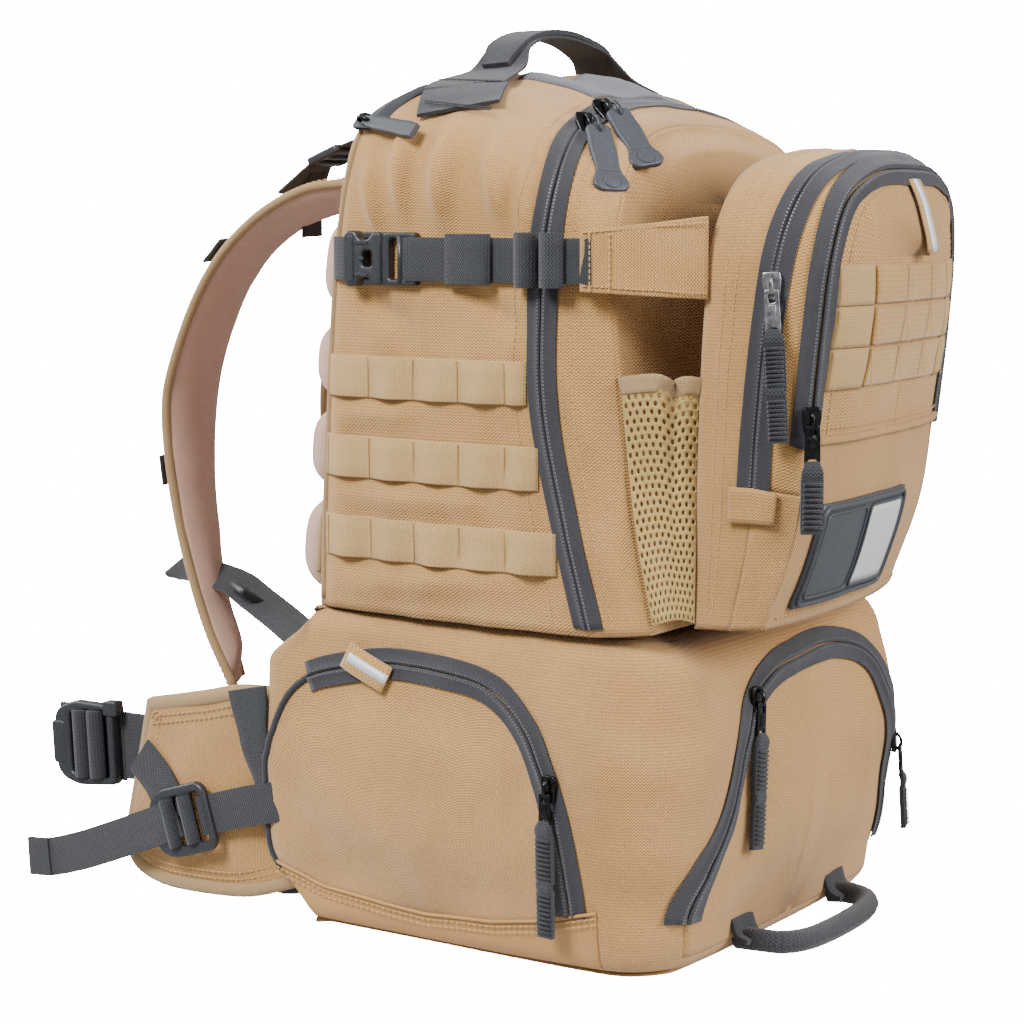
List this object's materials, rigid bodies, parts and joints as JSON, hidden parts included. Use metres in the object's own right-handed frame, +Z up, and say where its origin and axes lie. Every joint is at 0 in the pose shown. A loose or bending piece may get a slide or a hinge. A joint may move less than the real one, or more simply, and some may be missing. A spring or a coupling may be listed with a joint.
{
  "type": "load backpack",
  "caption": "Tan fabric load pack with a wide lower compartment, arch-zip main panel, clip-on front pouch and padded harness.",
  "frame": {"origin": "centre of the flat underside of the lower compartment, which rests on the ground", "axes": "+Z up, +Y towards the wearer (the harness side), -Y towards the pouch, -X the wearer's left"},
  "size_m": [0.335, 0.5613, 0.5525],
  "materials": {
    "tan_fabric": "matte",
    "boot_leather": "satin",
    "padding": "matte",
    "tan_webbing": "matte",
    "black_webbing": "matte",
    "black_plastic": "satin",
    "black_rubber": "matte",
    "zip_metal": "satin",
    "frame_plastic": "matte",
    "frame_aluminium": "satin"
  },
  "bodies": {
    "pack": {"main_shell": "tan_fabric", "base_shell": "tan_fabric", "bottom_boot": "boot_leather", "frame_sheet": "frame_plastic", "stay_left": "frame_aluminium", "stay_right": "frame_aluminium", "back_pad_lower": "padding", "back_pad_middle": "padding", "back_pad_upper": "padding", "lumbar_pad": "padding", "carry_handle": "black_webbing", "molle_left": "tan_webbing", "molle_right": "tan_webbing", "female_buckle_left": "black_plastic", "female_buckle_right": "black_plastic"},
    "main_panel": {"main_panel": "tan_fabric"},
    "main_puller_left": {"main_puller_left": "black_rubber"},
    "main_puller_right": {"main_puller_right": "black_rubber"},
    "back_zip_puller": {"back_zip_puller": "black_rubber"},
    "pouch": {"pouch_body": "tan_fabric", "pouch_lower": "tan_fabric", "id_patch": "black_rubber"},
    "pouch_mid": {"pouch_mid": "tan_fabric"},
    "pouch_front": {"pouch_front": "tan_fabric"},
    "wing_left": {"wing_left": "tan_fabric"},
    "wing_right": {"wing_right": "tan_fabric"},
    "strap_left": {"strap_left": "black_webbing", "male_buckle_left": "black_plastic"},
    "strap_right": {"strap_right": "black_webbing", "male_buckle_right": "black_plastic"},
    "side_flap_left": {"side_flap_left": "tan_fabric"},
    "side_flap_right": {"side_flap_right": "tan_fabric"},
    "front_flap": {"front_flap": "tan_fabric"},
    "drag_handle": {"drag_handle": "black_webbing"},
    "shoulder_left": {"shoulder_left": "padding", "lower_web_left": "black_webbing", "lifter_web_left": "black_webbing", "lifter_buckle_left": "black_plastic"},
    "shoulder_right": {"shoulder_right": "padding", "lower_web_right": "black_webbing", "lifter_web_right": "black_webbing", "lifter_buckle_right": "black_plastic"},
    "hip_wing_left": {"hip_wing_left": "padding", "stabiliser_lock_left": "black_plastic", "stabiliser_tail_left": "black_webbing"},
    "hip_wing_right": {"hip_wing_right": "padding", "stabiliser_lock_right": "black_plastic", "stabiliser_tail_right": "black_webbing"},
    "hip_buckle_left": {"hip_buckle_left": "black_plastic"},
    "hip_buckle_right": {"hip_buckle_right": "black_plastic"},
    "front_slider": {"front_slider": "zip_metal"},
    "front_puller": {"front_puller": "black_webbing"},
    "side_slider_left": {"side_slider_left": "zip_metal"},
    "side_slider_right": {"side_slider_right": "zip_metal"},
    "side_puller_left": {"side_puller_left": "black_webbing"},
    "side_puller_right": {"side_puller_right": "black_webbing"},
    "pouch_rear_slider": {"pouch_rear_slider": "zip_metal"},
    "pouch_rear_puller": {"pouch_rear_puller": "black_webbing"},
    "pouch_front_slider": {"pouch_front_slider": "zip_metal"},
    "pouch_front_puller": {"pouch_front_puller": "black_webbing"}
  },
  "joints": [
    {"name": "main_open", "type": "hinge", "parent": "pack", "child": "main_panel", "pos_m": [0, -0.128, 0.203], "axis": [1, 0, 0], "range_deg": [0, 30]},
    {"name": "pouch_tilt", "type": "hinge", "parent": "main_panel", "child": "pouch", "pos_m": [0, -0.146, 0.203], "axis": [1, 0, 0], "range_deg": [0, 15]},
    {"name": "wing_left_level", "type": "hinge", "parent": "pouch", "child": "wing_left", "pos_m": [0, -0.16054, 0.413], "axis": [1, 0, 0], "range_deg": [-15, 0]},
    {"name": "strap_left_level", "type": "hinge", "parent": "wing_left", "child": "strap_left", "pos_m": [0, -0.106, 0.413], "axis": [1, 0, 0], "range_deg": [-30, 0]},
    {"name": "wing_right_level", "type": "hinge", "parent": "pouch", "child": "wing_right", "pos_m": [0, -0.13546, 0.413], "axis": [1, 0, 0], "range_deg": [-15, 0]},
    {"name": "strap_right_level", "type": "hinge", "parent": "wing_right", "child": "strap_right", "pos_m": [0, -0.106, 0.413], "axis": [1, 0, 0], "range_deg": [-30, 0]},
    {"name": "pouch_rear_open", "type": "hinge", "parent": "pouch", "child": "pouch_mid", "pos_m": [0.008, -0.22208, 0.2925], "axis": [0.9945, 0.1045, 0], "range_deg": [0, 45]},
    {"name": "pouch_front_open", "type": "hinge", "parent": "pouch_mid", "child": "pouch_front", "pos_m": [0.00909, -0.23252, 0.312], "axis": [0.9945, 0.1045, 0], "range_deg": [0, 60]},
    {"name": "front_flap_open", "type": "hinge", "parent": "pack", "child": "front_flap", "pos_m": [0, -0.164, 0.045], "axis": [1, 0, 0], "range_deg": [0, 90]},
    {"name": "drag_handle_swing", "type": "hinge", "parent": "pack", "child": "drag_handle", "pos_m": [0, -0.1635, 0.013], "axis": [-1, 0, 0], "range_deg": [0, 70]},
    {"name": "side_flap_left_open", "type": "hinge", "parent": "pack", "child": "side_flap_left", "pos_m": [-0.1525, 0, 0.045], "axis": [0, -1, 0], "range_deg": [0, 95]},
    {"name": "main_puller_left_swing", "type": "hinge", "parent": "main_panel", "child": "main_puller_left", "pos_m": [-0.085, -0.1065, 0.499], "axis": [-1, 0, 0], "range_deg": [0, 120]},
    {"name": "shoulder_left_swing", "type": "hinge", "parent": "pack", "child": "shoulder_left", "pos_m": [-0.07, 0.098, 0.46], "axis": [1, 0, 0], "range_deg": [0, 55]},
    {"name": "hip_wing_left_swing", "type": "hinge", "parent": "pack", "child": "hip_wing_left", "pos_m": [-0.128, 0.112, 0.07], "axis": [0, 0, -1], "range_deg": [-30, 35]},
    {"name": "hip_buckle_left_swing", "type": "hinge", "parent": "hip_wing_left", "child": "hip_buckle_left", "pos_m": [-0.1465, 0.262, 0.09], "axis": [0, 0, -1], "range_deg": [-40, 10]},
    {"name": "side_slider_left_slide", "type": "slide", "parent": "side_flap_left", "child": "side_slider_left", "axis": [0, 0, -1], "range_m": [0, 0.05]},
    {"name": "side_puller_left_swing", "type": "hinge", "parent": "side_slider_left", "child": "side_puller_left", "pos_m": [-0.1585, -0.062, 0.11], "axis": [0, 1, 0], "range_deg": [0, 120]},
    {"name": "side_flap_right_open", "type": "hinge", "parent": "pack", "child": "side_flap_right", "pos_m": [0.1525, 0, 0.045], "axis": [0, 1, 0], "range_deg": [0, 95]},
    {"name": "main_puller_right_swing", "type": "hinge", "parent": "main_panel", "child": "main_puller_right", "pos_m": [-0.052, -0.1065, 0.499], "axis": [-1, 0, 0], "range_deg": [0, 120]},
    {"name": "shoulder_right_swing", "type": "hinge", "parent": "pack", "child": "shoulder_right", "pos_m": [0.07, 0.098, 0.46], "axis": [1, 0, 0], "range_deg": [0, 55]},
    {"name": "hip_wing_right_swing", "type": "hinge", "parent": "pack", "child": "hip_wing_right", "pos_m": [0.128, 0.112, 0.07], "axis": [0, 0, 1], "range_deg": [-30, 35]},
    {"name": "hip_buckle_right_swing", "type": "hinge", "parent": "hip_wing_right", "child": "hip_buckle_right", "pos_m": [0.1465, 0.262, 0.09], "axis": [0, 0, 1], "range_deg": [-40, 10]},
    {"name": "side_slider_right_slide", "type": "slide", "parent": "side_flap_right", "child": "side_slider_right", "axis": [0, 0, -1], "range_m": [0, 0.05]},
    {"name": "side_puller_right_swing", "type": "hinge", "parent": "side_slider_right", "child": "side_puller_right", "pos_m": [0.1585, -0.062, 0.11], "axis": [0, -1, 0], "range_deg": [0, 120]},
    {"name": "back_zip_puller_swing", "type": "hinge", "parent": "pack", "child": "back_zip_puller", "pos_m": [-0.118, 0.058, 0.503], "axis": [-1, 0, 0], "range_deg": [0, 60]},
    {"name": "front_slider_slide", "type": "slide", "parent": "front_flap", "child": "front_slider", "axis": [0, 0, -1], "range_m": [0, 0.06]},
    {"name": "front_puller_swing", "type": "hinge", "parent": "front_slider", "child": "front_puller", "pos_m": [-0.048, -0.17, 0.146], "axis": [-1, 0, 0], "range_deg": [0, 120]},
    {"name": "pouch_rear_slider_slide", "type": "slide", "parent": "pouch_mid", "child": "pouch_rear_slider", "axis": [0, 0, 1], "range_m": [-0.075, 0.03]},
    {"name": "pouch_rear_puller_swing", "type": "hinge", "parent": "pouch_rear_slider", "child": "pouch_rear_puller", "pos_m": [-0.11362, -0.20822, 0.403], "axis": [-0.1045, 0.9945, 0], "range_deg": [0, 120]},
    {"name": "pouch_front_slider_slide", "type": "slide", "parent": "pouch_mid", "child": "pouch_front_slider", "axis": [0, 0, 1], "range_m": [0, 0.07]},
    {"name": "pouch_front_puller_swing", "type": "hinge", "parent": "pouch_front_slider", "child": "pouch_front_puller", "pos_m": [-0.10255, -0.22264, 0.331], "axis": [-0.9945, -0.1045, 0], "range_deg": [0, 120]}
  ],
  "couplings": [
    {"joint": "wing_left_level", "follows": "pouch_tilt", "ratio": -1},
    {"joint": "wing_right_level", "follows": "pouch_tilt", "ratio": -1},
    {"joint": "strap_left_level", "follows": "main_open", "ratio": -1},
    {"joint": "strap_right_level", "follows": "main_open", "ratio": -1}
  ]
}
